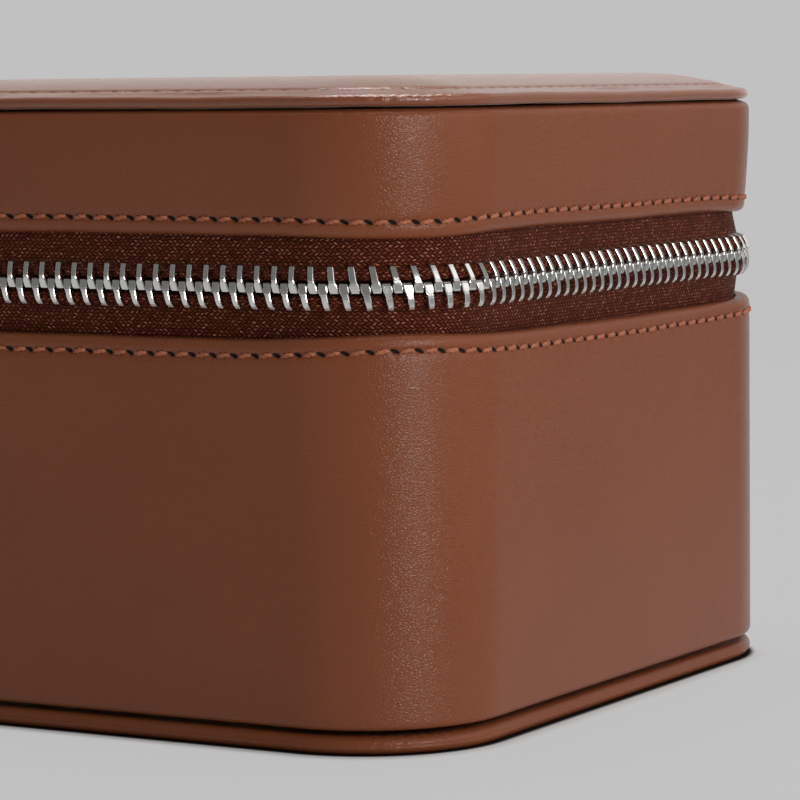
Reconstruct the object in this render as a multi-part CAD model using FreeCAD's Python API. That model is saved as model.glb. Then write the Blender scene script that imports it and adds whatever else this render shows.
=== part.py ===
import FreeCAD, Part
import math
import os

Vector = FreeCAD.Vector

# A zip-around leather jewellery case, closed and standing on its bottom panel.
# Millimetres. Origin: centre of the bottom face. +Z up, front towards -Y, hinge at +Y.

# The closed case, from wall face to wall face
case_width = 180.0
case_depth = 116.0
wall_corner_radius = 20.0

# Heights of the closed case, from the table up
bottom_panel_height = 3.0
base_wall_height = 51.5
zip_gap = 13.7
lid_wall_height = 16.6
top_panel_edge_height = 2.3
top_panel_crown = 1.9

# Layers of the walls, from the outside in
wall_leather_thickness = 2.2
wall_board_thickness = 2.75
lining_thickness = 0.8
layer_clearance = 0.05
wall_edge_radius = 1.8
groove_edge_radius = 1.6
tightest_corner_radius = 1.0

# Panels on the top and the bottom
panel_inset = 0.3
panel_leather_thickness = 0.9
panel_turn_in = 14.0
top_board_thickness = 1.2
crown_reach = 16.0
floor_board_thickness = 2.4
lid_board_thickness = 2.4

# Soft linings inside
floor_pad_thickness = 2.5
lid_pad_thickness = 5.0
lid_pad_crown = 1.6
lid_pad_reach = 12.0
board_setback = 1.2
lining_cap_thickness = 0.7

# Compartments and ring rolls
divider_thickness = 3.0
divider_height = 40.0
ring_bay_start = 18.0
ring_riser_height = 20.0
ring_riser_board = 2.0
ring_roll_count = 6
ring_roll_height = 19.0
ring_roll_crown = 6.5
ring_roll_gap = 0.4
bay_clearance = 0.3

# Zip tape and chain
tape_thickness = 0.7
tape_seam = 9.0
tape_edge_half_gap = 1.1
chain_inset = 1.6
tooth_pitch = 2.65
tooth_gap = 0.275
tooth_thickness = 3.1
tooth_root = 2.75
tooth_leg_thickness = 0.45
tooth_head = 0.75
tooth_head_chamfer = 0.4
tooth_slot_clearance = 0.07
chain_end_angle = 50.0
stop_length = 2.4
stop_spacing = 0.6

# Zip slider and pull tab
slider_length = 11.0
slider_corner_margin = 0.4
slider_mouth_clearance = 0.5
slider_plate_thickness = 1.0
slider_plate_clearance = 0.15
slider_tooth_clearance = 0.25
slider_flange_width = 0.8
slider_flare = 0.8
slider_tape_clearance = 0.25
slider_wedge_length = 2.8
bail_length = 6.4
bail_width = 1.8
bail_thickness = 0.9
bail_foot = 1.1
pull_length = 26.0
pull_half_width = 3.2
pull_tip_half_width = 2.6
pull_thickness = 1.1
pull_eye_clearance = 0.5
pull_clearance = 0.35

# Heights worked out from the driving dimensions
base_bottom_z = bottom_panel_height
base_rim_z = base_bottom_z + base_wall_height
lid_rim_z = base_rim_z + zip_gap
lid_top_z = lid_rim_z + lid_wall_height
panel_edge_z = lid_top_z + top_panel_edge_height
chain_z = (base_rim_z + lid_rim_z) / 2.0
floor_top_z = base_bottom_z + floor_board_thickness
compartment_floor_z = floor_top_z + floor_pad_thickness
base_board_top_z = base_rim_z - board_setback
lid_board_bottom_z = lid_rim_z + board_setback
lid_ceiling_z = lid_top_z - lid_board_thickness

# Insets of each layer from the outer wall face
tape_inset = wall_leather_thickness + layer_clearance
tape_back_inset = tape_inset + tape_thickness
board_rebate_inset = tape_back_inset + layer_clearance
board_back_inset = tape_inset + wall_board_thickness
lining_inset = board_back_inset + layer_clearance
cavity_inset = lining_inset + lining_thickness
pad_inset = cavity_inset + layer_clearance
straight_half_width = case_width / 2.0 - wall_corner_radius
straight_half_depth = case_depth / 2.0 - wall_corner_radius


# Shared forms

def outline(inset, z):
    """Rounded rectangle parallel to the wall face, moved in by an inset, at a height."""
    x = case_width / 2.0 - inset
    y = case_depth / 2.0 - inset
    r = max(wall_corner_radius - inset, tightest_corner_radius)
    k = r * (1.0 - math.sqrt(0.5))

    def line(a, b):
        return Part.LineSegment(Vector(*a, z), Vector(*b, z)).toShape()

    def arc(a, b, c):
        return Part.Arc(Vector(*a, z), Vector(*b, z), Vector(*c, z)).toShape()

    edges = [
        line((-x + r, -y), (x - r, -y)), arc((x - r, -y), (x - k, -y + k), (x, -y + r)),
        line((x, -y + r), (x, y - r)), arc((x, y - r), (x - k, y - k), (x - r, y)),
        line((x - r, y), (-x + r, y)), arc((-x + r, y), (-x + k, y - k), (-x, y - r)),
        line((-x, y - r), (-x, -y + r)), arc((-x, -y + r), (-x + k, -y + k), (-x + r, -y)),
    ]
    return Part.Wire(edges)


def prism(inset, low, high):
    """Solid plate or block with the case's outline."""
    return Part.Face(outline(inset, low)).extrude(Vector(0, 0, high - low))


def ring(outer_inset, inner_inset, low, high):
    """Wall of constant thickness that follows the case's outline."""
    return prism(outer_inset, low, high).cut(prism(inner_inset, low, high))


def stacked(levels):
    """Solid through outlines at (inset, height) levels, straight between them."""
    return Part.makeLoft([outline(inset, z) for inset, z in levels], True, True)


def box(x_low, x_high, y_low, y_high, z_low, z_high):
    """Block between two corners."""
    return Part.makeBox(x_high - x_low, y_high - y_low, z_high - z_low, Vector(x_low, y_low, z_low))


def round_levels(inset, middle_z, radius, start, end):
    """Outlines round a soft edge, from one angle above the horizontal to another, in degrees."""
    step = 30.0
    count = round((end - start) / step)
    angles = [math.radians(start + step * i) for i in range(count + 1)]
    return [(inset + radius * (1.0 - math.cos(a)), middle_z + radius * math.sin(a)) for a in angles]


def bead_levels(low, high):
    """Half-round edge of a panel, from its lower face to its upper face."""
    return round_levels(panel_inset, (low + high) / 2.0, (high - low) / 2.0, -90.0, 90.0)


def rounded_wall(low, high, low_radius, high_radius):
    """Padded leather wall: a ring whose two outer edges are rounded over."""
    same_height = 1e-6
    block = prism(0.0, low, high)

    def rim(z):
        flat = [e for e in block.Edges if e.BoundBox.ZLength < same_height]
        return [e for e in flat if abs(e.BoundBox.ZMin - z) < same_height]

    block = block.makeFillet(low_radius, rim(low))
    block = block.makeFillet(high_radius, rim(high))
    return block.cut(prism(wall_leather_thickness, low, high))


# Bottom panel, on which the case stands

bottom_board_low = panel_leather_thickness
bottom_board_high = bottom_panel_height - panel_leather_thickness
bottom_bead_radius = bottom_panel_height / 2.0
bottom_board_half_height = bottom_bead_radius - panel_leather_thickness
bottom_bead_reach = math.sqrt(bottom_bead_radius ** 2 - bottom_board_half_height ** 2)
bottom_board_inset = panel_inset + bottom_bead_radius - bottom_bead_reach + panel_leather_thickness


def bottom_panel_board():
    return prism(bottom_board_inset, bottom_board_low, bottom_board_high)


def bottom_panel_leather():
    """Leather round the board, turned in over its upper face."""
    skin = stacked(bead_levels(0.0, bottom_panel_height))
    skin = skin.cut(bottom_panel_board())
    return skin.cut(prism(panel_turn_in, bottom_board_high, bottom_panel_height))


# Base walls, floor and lining

def base_wall_leather():
    return rounded_wall(base_bottom_z, base_rim_z, groove_edge_radius, wall_edge_radius)


def base_wall_board():
    """Stiff frame inside the leather, rebated at the top for the zip tape."""
    frame = ring(tape_inset, board_back_inset, base_bottom_z, base_board_top_z)
    rebate_low = base_rim_z - tape_seam - layer_clearance
    return frame.cut(ring(0.0, board_rebate_inset, rebate_low, base_rim_z))


def base_floor_board():
    return prism(lining_inset, base_bottom_z, floor_top_z)


def base_lining_walls():
    """Suede lining of the base walls, carried over the top edge of the frame."""
    wall = ring(lining_inset, cavity_inset, floor_top_z, base_board_top_z + lining_cap_thickness)
    cap = ring(board_rebate_inset, cavity_inset, base_board_top_z, base_board_top_z + lining_cap_thickness)
    return wall.fuse(cap).removeSplitter()


def base_floor_pad():
    """Thin floor cushion with its upper edge rounded in."""
    edge = floor_pad_thickness / 2.0
    return stacked([(pad_inset, floor_top_z)] + round_levels(pad_inset, floor_top_z + edge, edge, 0.0, 90.0))


# Compartments and ring rolls

divider_top_z = compartment_floor_z + divider_height
bay_low_x = ring_bay_start + divider_thickness / 2.0 + bay_clearance
riser_top_z = compartment_floor_z + ring_riser_height
cavity_half_width = case_width / 2.0 - pad_inset
cavity_half_depth = case_depth / 2.0 - pad_inset


def cross_divider():
    """Partition from front to back, beside the ring rolls."""
    half = divider_thickness / 2.0
    return box(ring_bay_start - half, ring_bay_start + half, -cavity_half_depth, cavity_half_depth,
               compartment_floor_z, divider_top_z)


def long_divider():
    """Partition from the left wall to the cross divider."""
    half = divider_thickness / 2.0
    return box(-cavity_half_width, ring_bay_start - half, -half, half, compartment_floor_z, divider_top_z)


def bay_block(inset, low, high):
    """Block that fills the ring bay between two heights, less an inset all round."""
    limit = box(bay_low_x + inset, case_width, -case_depth, case_depth, low, high)
    return prism(pad_inset + bay_clearance + inset, low, high).common(limit)


def ring_riser():
    """Lined board box, open underneath, that lifts the ring rolls."""
    shell = bay_block(0.0, compartment_floor_z, riser_top_z)
    return shell.cut(bay_block(ring_riser_board, compartment_floor_z, riser_top_z - ring_riser_board))


def ring_roll(index):
    """One foam roll from side to side of the bay, with a crowned top."""
    bay_depth = 2.0 * (cavity_half_depth - bay_clearance)
    pitch = bay_depth / ring_roll_count
    middle = -bay_depth / 2.0 + pitch * (index + 0.5)
    half = (pitch - ring_roll_gap) / 2.0
    top_z = riser_top_z + ring_roll_height
    side_z = top_z - ring_roll_crown

    def at(y, z):
        return Vector(bay_low_x, middle + y, z)

    profile = Part.Wire([
        Part.LineSegment(at(-half, side_z), at(-half, riser_top_z)).toShape(),
        Part.LineSegment(at(-half, riser_top_z), at(half, riser_top_z)).toShape(),
        Part.LineSegment(at(half, riser_top_z), at(half, side_z)).toShape(),
        Part.Arc(at(half, side_z), at(0.0, top_z), at(-half, side_z)).toShape(),
    ])
    roll = Part.Face(profile).extrude(Vector(case_width / 2.0 - bay_low_x, 0, 0))
    return roll.common(bay_block(0.0, riser_top_z, top_z + bay_clearance))


# Lid walls, lining and padded top panel

def lid_wall_leather():
    return rounded_wall(lid_rim_z, lid_top_z, wall_edge_radius, wall_edge_radius)


def lid_wall_board():
    """Stiff frame inside the lid's leather, rebated at its rim for the zip tape."""
    frame = ring(tape_inset, board_back_inset, lid_board_bottom_z, lid_ceiling_z)
    rebate_high = lid_rim_z + tape_seam + layer_clearance
    return frame.cut(ring(0.0, board_rebate_inset, lid_rim_z, rebate_high))


def lid_top_board():
    return prism(tape_inset, lid_ceiling_z, lid_top_z)


def lid_lining_walls():
    """Suede lining of the lid walls, carried over the rim of the frame."""
    low = lid_board_bottom_z - lining_cap_thickness
    wall = ring(lining_inset, cavity_inset, low, lid_ceiling_z)
    cap = ring(board_rebate_inset, cavity_inset, low, lid_board_bottom_z)
    return wall.fuse(cap).removeSplitter()


def crown_levels(start_inset, reach, edge_z, rise):
    """Padded face that rises from its edge to a flat middle, as a parabola in the inset."""
    steps = 5
    shares = [i / steps for i in range(steps + 1)]
    return [(start_inset + reach * u, edge_z + rise * (1.0 - (1.0 - u) ** 2)) for u in shares]


def lid_lining_pad():
    """Padded panel inside the lid, crowned downwards."""
    side_z = lid_ceiling_z - lid_pad_thickness + lid_pad_crown
    face = crown_levels(pad_inset, lid_pad_reach, side_z, -lid_pad_crown)
    return stacked([(pad_inset, lid_ceiling_z)] + face)


top_bead_radius = top_panel_edge_height / 2.0
top_pad_inset = panel_inset + top_bead_radius + panel_leather_thickness
top_board_high = lid_top_z + top_board_thickness


def top_crown(drop):
    """Crown of the top panel, from the pad's edge inwards, lowered by a skin's thickness."""
    rise_share = panel_leather_thickness / (crown_reach + panel_leather_thickness)
    edge_rise = top_panel_crown * (1.0 - (1.0 - rise_share) ** 2)
    edge_z = panel_edge_z + edge_rise - drop
    return crown_levels(top_pad_inset, crown_reach, edge_z, top_panel_crown - edge_rise)


def top_panel_board():
    return prism(top_pad_inset, lid_top_z, top_board_high)


def top_panel_pad():
    """Foam that gives the top its soft crown."""
    return stacked([(top_pad_inset, top_board_high)] + top_crown(panel_leather_thickness))


def top_panel_leather():
    """Leather drawn over the foam and down round the panel's edge."""
    form = stacked(bead_levels(lid_top_z, panel_edge_z) + top_crown(0.0))
    return form.cut(top_panel_board()).cut(top_panel_pad())


# Zip: two tapes and two rows of teeth round the front and sides

tooth_length = tooth_pitch / 2.0 - tooth_gap
slider_nose_half_width = tooth_root + slider_tooth_clearance + slider_flange_width
slider_mouth_half_width = slider_nose_half_width + slider_flare
tape_flat_half_height = slider_mouth_half_width + slider_tape_clearance


def without_back(shape):
    """Cut away the straight back, where the hinge strip takes over."""
    back = box(-straight_half_width, straight_half_width, 0.0, case_depth, 0.0, panel_edge_z)
    return shape.cut(back)


def tape(rim_z, seam_z, side):
    """Tape from its seam behind the hem to the teeth. Side is -1 below the chain and +1 above it."""
    front_inset = chain_inset - tape_thickness / 2.0
    rows = [
        (tape_inset, seam_z),
        (tape_inset, rim_z),
        (front_inset, chain_z + side * tape_flat_half_height),
        (front_inset, chain_z + side * tape_edge_half_gap),
    ]
    outer = stacked(rows)
    inner = stacked([(inset + tape_thickness, z) for inset, z in rows])
    return without_back(outer.cut(inner))


def lower_zip_tape():
    return tape(base_rim_z, base_rim_z - tape_seam, -1.0)


def upper_zip_tape():
    return tape(lid_rim_z, lid_rim_z + tape_seam, 1.0)


stop_reach = slider_mouth_clearance + stop_spacing + stop_length
slider_rest_y = straight_half_depth - slider_corner_margin - stop_reach - slider_length / 2.0
chain_start_y = slider_rest_y - slider_length / 2.0 - slider_mouth_clearance
chain_radius = wall_corner_radius - chain_inset
corner_run = chain_radius * math.pi / 2.0
left_run = chain_start_y + straight_half_depth
front_run = 2.0 * straight_half_width
right_run = 2.0 * straight_half_depth
last_run = chain_radius * math.radians(chain_end_angle)
chain_length = left_run + front_run + right_run + last_run + 2.0 * corner_run


def chain_place(s):
    """Place on the chain's centre line, s along it from the slider, and the outward angle in degrees."""
    if s <= left_run:
        return -straight_half_width - chain_radius, chain_start_y - s, 180.0
    s -= left_run
    if s <= corner_run:
        return corner_place(-straight_half_width, -straight_half_depth, 180.0, s)
    s -= corner_run
    if s <= front_run:
        return -straight_half_width + s, -straight_half_depth - chain_radius, 270.0
    s -= front_run
    if s <= corner_run:
        return corner_place(straight_half_width, -straight_half_depth, 270.0, s)
    s -= corner_run
    if s <= right_run:
        return straight_half_width + chain_radius, -straight_half_depth + s, 360.0
    return corner_place(straight_half_width, straight_half_depth, 360.0, s - right_run)


def corner_place(x, y, start, s):
    """Position on a corner's arc round (x, y), s along it from its start angle."""
    turn = start + math.degrees(s / chain_radius)
    a = math.radians(turn)
    return x + chain_radius * math.cos(a), y + chain_radius * math.sin(a), turn


def clip(length, root, head):
    """Metal clip that grips the edge of a tape: x outwards, y along the chain, z from root to head."""
    half = tooth_thickness / 2.0
    slot = tape_thickness / 2.0 + tooth_slot_clearance
    slot_top = -tape_edge_half_gap + tooth_slot_clearance
    shoulder = head - tooth_head_chamfer
    tip = half - tooth_head_chamfer
    leg = slot + tooth_leg_thickness
    half_profile = [(slot, slot_top), (slot, -root), (leg, -root),
                    (half, slot_top), (half, shoulder), (tip, head)]
    profile = half_profile + [(-x, z) for x, z in reversed(half_profile)]
    corners = [Vector(x, -length / 2.0, z) for x, z in profile]
    return Part.Face(Part.makePolygon(corners + corners[:1])).extrude(Vector(0, length, 0))


def placed(shape, s, upper):
    """Copy of a clip at s along the chain, turned over for the upper tape."""
    x, y, turn = chain_place(s)
    copy = shape.copy()
    if upper:
        copy.rotate(Vector(0, 0, 0), Vector(1, 0, 0), 180.0)
    copy.rotate(Vector(0, 0, 0), Vector(0, 0, 1), turn)
    copy.translate(Vector(x, y, chain_z))
    return copy


tooth_count = int((chain_length - tooth_length) / tooth_pitch)
left_tooth_count = int(left_run / tooth_pitch)


def teeth(first, last, upper):
    """Row of teeth, one pitch apart. The upper row stands half a pitch on, so that the rows mesh."""
    tooth = clip(tooth_length, tooth_root, tooth_head)
    shift = tooth_length / 2.0 + (tooth_pitch / 2.0 if upper else 0.0)
    return Part.makeCompound([placed(tooth, shift + tooth_pitch * i, upper) for i in range(first, last)])


def stops(upper):
    """Two clips that end a row: one behind the parked slider, one after the last tooth."""
    stop = clip(stop_length, tooth_root, -tape_edge_half_gap + tooth_head)
    behind = -slider_length - 2.0 * slider_mouth_clearance - stop_spacing - stop_length / 2.0
    after = tooth_count * tooth_pitch + tooth_length + stop_spacing + stop_length / 2.0
    return Part.makeCompound([placed(stop, s, upper) for s in (behind, after)])


# Zip slider on the left side, with its pull tab lying along the chain

plate_low = tooth_thickness / 2.0 + slider_plate_clearance
plate_high = plate_low + slider_plate_thickness
bail_gap = pull_thickness + 2.0 * pull_clearance
pull_axis = plate_high + bail_gap / 2.0
bail_reach = math.hypot(bail_length / 2.0, bail_gap / 2.0 + bail_thickness)
slider_wedge_half_width = tape_edge_half_gap - slider_tape_clearance


def slab(points, low, high):
    """Plate parallel to the tape: (y, z) corners, between two distances out from the chain."""
    corners = [Vector(low, y, z) for y, z in points]
    return Part.Face(Part.makePolygon(corners + corners[:1])).extrude(Vector(high - low, 0, 0))


def on_left_wall(shape):
    """Turn a slider piece to face left and move it to its parked place."""
    shape.rotate(Vector(0, 0, 0), Vector(0, 0, 1), 180.0)
    shape.translate(Vector(-straight_half_width - chain_radius, slider_rest_y, chain_z))
    return shape


def zip_slider():
    """Two plates joined by a wedge, with flanges that hold the teeth and a bail for the pull tab."""
    end = slider_length / 2.0
    nose = slider_nose_half_width
    mouth = slider_mouth_half_width
    flange_end = -end + slider_wedge_length
    half_plate = [(end, nose - slider_flange_width), (end - slider_flange_width, nose),
                  (flange_end, mouth), (-end, mouth - slider_flange_width)]
    plate = half_plate + [(y, -z) for y, z in reversed(half_plate)]
    body = slab(plate, plate_low, plate_high).fuse(slab(plate, -plate_high, -plate_low))
    slot = tape_thickness / 2.0 + slider_tape_clearance
    for side in (1.0, -1.0):
        flange = [(end - slider_flange_width, side * nose), (flange_end, side * mouth),
                  (flange_end, side * (mouth - slider_flange_width)),
                  (end - slider_flange_width, side * (nose - slider_flange_width))]
        body = body.fuse(slab(flange, slot, plate_low)).fuse(slab(flange, -plate_low, -slot))
    middle = -end + slider_wedge_length / 2.0
    wedge = [(-end, 0.0), (middle, slider_wedge_half_width),
             (flange_end, 0.0), (middle, -slider_wedge_half_width)]
    body = body.fuse(slab(wedge, -plate_low, plate_low))
    bail_top = plate_high + bail_gap + bail_thickness
    bail_end = bail_length / 2.0
    bail = box(plate_high, bail_top, -bail_end, bail_end, -bail_width / 2.0, bail_width / 2.0)
    window = bail_end - bail_foot
    bail = bail.cut(box(plate_high, plate_high + bail_gap, -window, window, -bail_width, bail_width))
    return on_left_wall(body.fuse(bail).removeSplitter())


def pull_tab():
    """Flat metal tab with an eye round the bail. The bar at its end turns under the bail."""
    low = pull_axis - pull_thickness / 2.0
    bar = pull_thickness / 2.0
    taper = pull_tip_half_width
    tip = pull_length - taper
    profile = Part.Wire([
        Part.LineSegment(Vector(low, -bar, -pull_half_width), Vector(low, tip, -taper)).toShape(),
        Part.Arc(Vector(low, tip, -taper), Vector(low, pull_length, 0), Vector(low, tip, taper)).toShape(),
        Part.LineSegment(Vector(low, tip, taper), Vector(low, -bar, pull_half_width)).toShape(),
        Part.LineSegment(Vector(low, -bar, pull_half_width), Vector(low, -bar, -pull_half_width)).toShape(),
    ])
    tab = Part.Face(profile).extrude(Vector(pull_thickness, 0, 0))
    eye = bail_width / 2.0 + pull_eye_clearance
    tab = tab.cut(box(low, low + pull_thickness, bar, bail_reach + pull_eye_clearance, -eye, eye))
    return on_left_wall(tab)


# Hinge strip across the back, sewn behind both hems

def hinge_strip(front_inset, thickness, low, high):
    half = straight_half_width - layer_clearance
    back = case_depth / 2.0 - front_inset
    return box(-half, half, back - thickness, back, low, high)


def hinge_leather():
    return hinge_strip(tape_inset, tape_thickness, base_rim_z - tape_seam, lid_rim_z + tape_seam)


def hinge_lining():
    low = base_board_top_z + lining_cap_thickness
    high = lid_board_bottom_z - lining_cap_thickness
    return hinge_strip(board_rebate_inset, lining_thickness, low, high)


nodes = {
    "bottom_panel_leather": bottom_panel_leather(),
    "bottom_panel_board": bottom_panel_board(),
    "base_wall_leather": base_wall_leather(),
    "base_wall_board": base_wall_board(),
    "base_floor_board": base_floor_board(),
    "base_lining_walls": base_lining_walls(),
    "base_floor_pad": base_floor_pad(),
    "cross_divider": cross_divider(),
    "long_divider": long_divider(),
    "ring_riser": ring_riser(),
    "lower_zip_tape": lower_zip_tape(),
    "lower_zip_teeth": teeth(left_tooth_count, tooth_count, False),
    "lower_zip_teeth_left": teeth(0, left_tooth_count, False),
    "lower_zip_stops": stops(False),
    "hinge_leather": hinge_leather(),
    "hinge_lining": hinge_lining(),
    "lid_wall_leather": lid_wall_leather(),
    "lid_wall_board": lid_wall_board(),
    "lid_top_board": lid_top_board(),
    "lid_lining_walls": lid_lining_walls(),
    "lid_lining_pad": lid_lining_pad(),
    "top_panel_leather": top_panel_leather(),
    "top_panel_board": top_panel_board(),
    "top_panel_pad": top_panel_pad(),
    "upper_zip_tape": upper_zip_tape(),
    "upper_zip_teeth": teeth(left_tooth_count, tooth_count, True),
    "upper_zip_teeth_left": teeth(0, left_tooth_count, True),
    "upper_zip_stops": stops(True),
    "zip_slider": zip_slider(),
    "pull_tab": pull_tab(),
}
for roll in range(ring_roll_count):
    nodes[f"ring_roll_{roll + 1}"] = ring_roll(roll)

os.makedirs("parts", exist_ok=True)
for name, shape in nodes.items():
    shape.exportStep(f"parts/{name}.step")
    state = "valid" if shape.isValid() else "not valid"
    print(name, len(shape.Solids), "solids", round(shape.Volume, 1), "mm3", state)
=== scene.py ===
import math

import bpy
import numpy as np
from mathutils import Matrix, Vector


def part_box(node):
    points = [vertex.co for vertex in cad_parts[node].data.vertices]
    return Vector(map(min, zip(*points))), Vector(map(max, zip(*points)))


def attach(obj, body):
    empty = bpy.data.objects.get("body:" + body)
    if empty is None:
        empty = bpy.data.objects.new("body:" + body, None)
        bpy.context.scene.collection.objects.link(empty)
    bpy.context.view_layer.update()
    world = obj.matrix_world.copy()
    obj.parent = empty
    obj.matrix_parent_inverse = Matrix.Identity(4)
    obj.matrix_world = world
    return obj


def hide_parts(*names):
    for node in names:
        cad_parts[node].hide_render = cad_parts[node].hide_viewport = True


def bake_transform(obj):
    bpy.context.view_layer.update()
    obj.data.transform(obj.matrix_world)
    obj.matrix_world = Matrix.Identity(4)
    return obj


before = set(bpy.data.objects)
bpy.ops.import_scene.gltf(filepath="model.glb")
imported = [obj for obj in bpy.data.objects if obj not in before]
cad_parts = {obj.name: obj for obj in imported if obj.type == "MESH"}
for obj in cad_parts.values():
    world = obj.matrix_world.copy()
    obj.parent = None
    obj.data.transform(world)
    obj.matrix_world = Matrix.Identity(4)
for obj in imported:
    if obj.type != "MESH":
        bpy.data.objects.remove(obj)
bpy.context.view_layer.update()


# Bottom panel leather: smooth brown cowhide, under 1 mm thick, drawn round a board.
# It goes round the board's edge as a small bead, bunches into short pleats at the corners,
# and is turned in and glued down on the upper face, under the base.

mm = 0.001
pattern_map = "run"


class Outline:
    """Rectangle with round corners, run round from the middle of its back: left, front, right, back again.
    A point s along it is the inner rectangle's point, whose corners are the arcs' centres, plus the
    corner radius in the outward direction. Lengths are measured on the line at one inset."""

    def __init__(self, half_x, half_y, radius, measured_at=0.0, middle=(0.0, 0.0)):
        x = half_x - radius
        y = half_y - radius
        arc = (radius - measured_at) * math.pi / 2
        self.radius = radius
        self.middle = middle
        self.stops = np.cumsum([0, x, arc, 2 * y, arc, 2 * x, arc, 2 * y, arc, x])
        self.length = self.stops[-1]
        self.inner_x = x * np.array([0, -1, -1, -1, -1, 1, 1, 1, 1, 0])
        self.inner_y = y * np.array([1, 1, 1, -1, -1, -1, -1, 1, 1, 1])
        self.turns = np.radians([90, 90, 180, 180, 270, 270, 360, 360, 450, 450])

    def even(self, count):
        """Places at equal steps round the outline."""
        return self.length * np.arange(count) / count

    def layer(self, s, inset, z, shrink=1.0):
        """Points at places s, at an inset and a height. Shrink draws in the inner rectangle."""
        turn = np.interp(s, self.stops, self.turns)
        reach = self.radius - inset
        x = self.middle[0] + shrink * np.interp(s, self.stops, self.inner_x) + reach * np.cos(turn)
        y = self.middle[1] + shrink * np.interp(s, self.stops, self.inner_y) + reach * np.sin(turn)
        return np.stack(np.broadcast_arrays(x, y, z), axis=-1)

    def bell(self, s, reach):
        """1 in the middle of each corner, fading along the walls as a bell curve."""
        corners = (self.stops[1:8:2] + self.stops[2:9:2]) / 2
        return np.exp(-((s[..., None] - corners) / reach) ** 2).sum(-1)


def eased(corners, steps=5):
    """Closed profile through corners (inset, z, ease): each corner is rounded by a parabola that starts and
    ends its ease away along the two sides, and a corner with no ease stays one point."""
    points = np.array([c[:2] for c in corners], float)
    turned = []
    for corner, before, after, (_, _, ease) in zip(
        points, np.roll(points, 1, 0), np.roll(points, -1, 0), corners
    ):
        if ease == 0:
            turned.append(corner[None])
            continue
        t = np.linspace(0, 1, steps)[:, None]
        start = corner + ease * (before - corner) / np.linalg.norm(before - corner)
        end = corner + ease * (after - corner) / np.linalg.norm(after - corner)
        turned.append((1 - t) ** 2 * start + 2 * t * (1 - t) * corner + t**2 * end)
    return np.concatenate(turned)


def placed(name, data):
    """New object in the scene, at the origin."""
    made = bpy.data.objects.new(name, data)
    bpy.context.scene.collection.objects.link(made)
    return made


def skin(name, points, wrap_rows=False, ends=None, u=None, v=None):
    """Mesh over copies of a grid, shaped copies x rows x columns x 3, whose columns close on themselves.
    Rows close too with wrap_rows, and otherwise an end can be "flat" or a "pole" in its middle.
    u along the columns and v across the rows, in metres, make the map that patterns follow."""
    points = points.reshape((-1,) + points.shape[-3:])
    copies, rows, columns = points.shape[:3]
    row = np.arange(rows if wrap_rows else rows - 1)[:, None]
    column = np.arange(columns)[None]
    next_row = (row + 1) % rows
    next_column = (column + 1) % columns
    corners = [row * columns + column, row * columns + next_column,
               next_row * columns + next_column, next_row * columns + column]
    quads = np.stack(np.broadcast_arrays(*corners), -1).reshape(-1, 4)
    firsts = np.arange(copies)[:, None, None] * rows * columns
    faces = (firsts + quads).reshape(-1, 4).tolist()
    vertices = points.reshape(-1, 3)
    column = column[0]
    next_column = next_column[0]
    last = (rows - 1) * columns
    for first in firsts.ravel() if ends else []:
        if ends == "flat":
            faces.append((first + column[::-1]).tolist())
            faces.append((first + last + column).tolist())
            continue
        low = len(vertices)
        pole = np.full(columns, low)
        around = vertices[first:first + rows * columns].reshape(rows, columns, 3)
        vertices = np.concatenate([vertices, around[[0, -1]].mean(1)])
        faces += np.stack([pole, first + next_column, first + column], -1).tolist()
        faces += np.stack([first + last + column, first + last + next_column, pole + 1], -1).tolist()
    mesh = bpy.data.meshes.new(name)
    mesh.from_pydata(vertices.tolist(), [], faces)
    mesh.shade_smooth()
    if u is not None:
        across = np.stack(np.broadcast_arrays(u[column], u[column + 1], u[column + 1], u[column]), -1)
        up = np.stack([v[row], v[row], v[row + 1], v[row + 1]], -1)
        places = np.stack(np.broadcast_arrays(across[None], up), -1).reshape(-1, 2)
        loops = np.full((len(mesh.loops), 2), v[-1])
        loops[:len(places) * copies] = np.tile(places, (copies, 1))
        mesh.uv_layers.new(name=pattern_map).uv.foreach_set("vector", loops.astype(np.float32).ravel())
    return placed(name, mesh)


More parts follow.
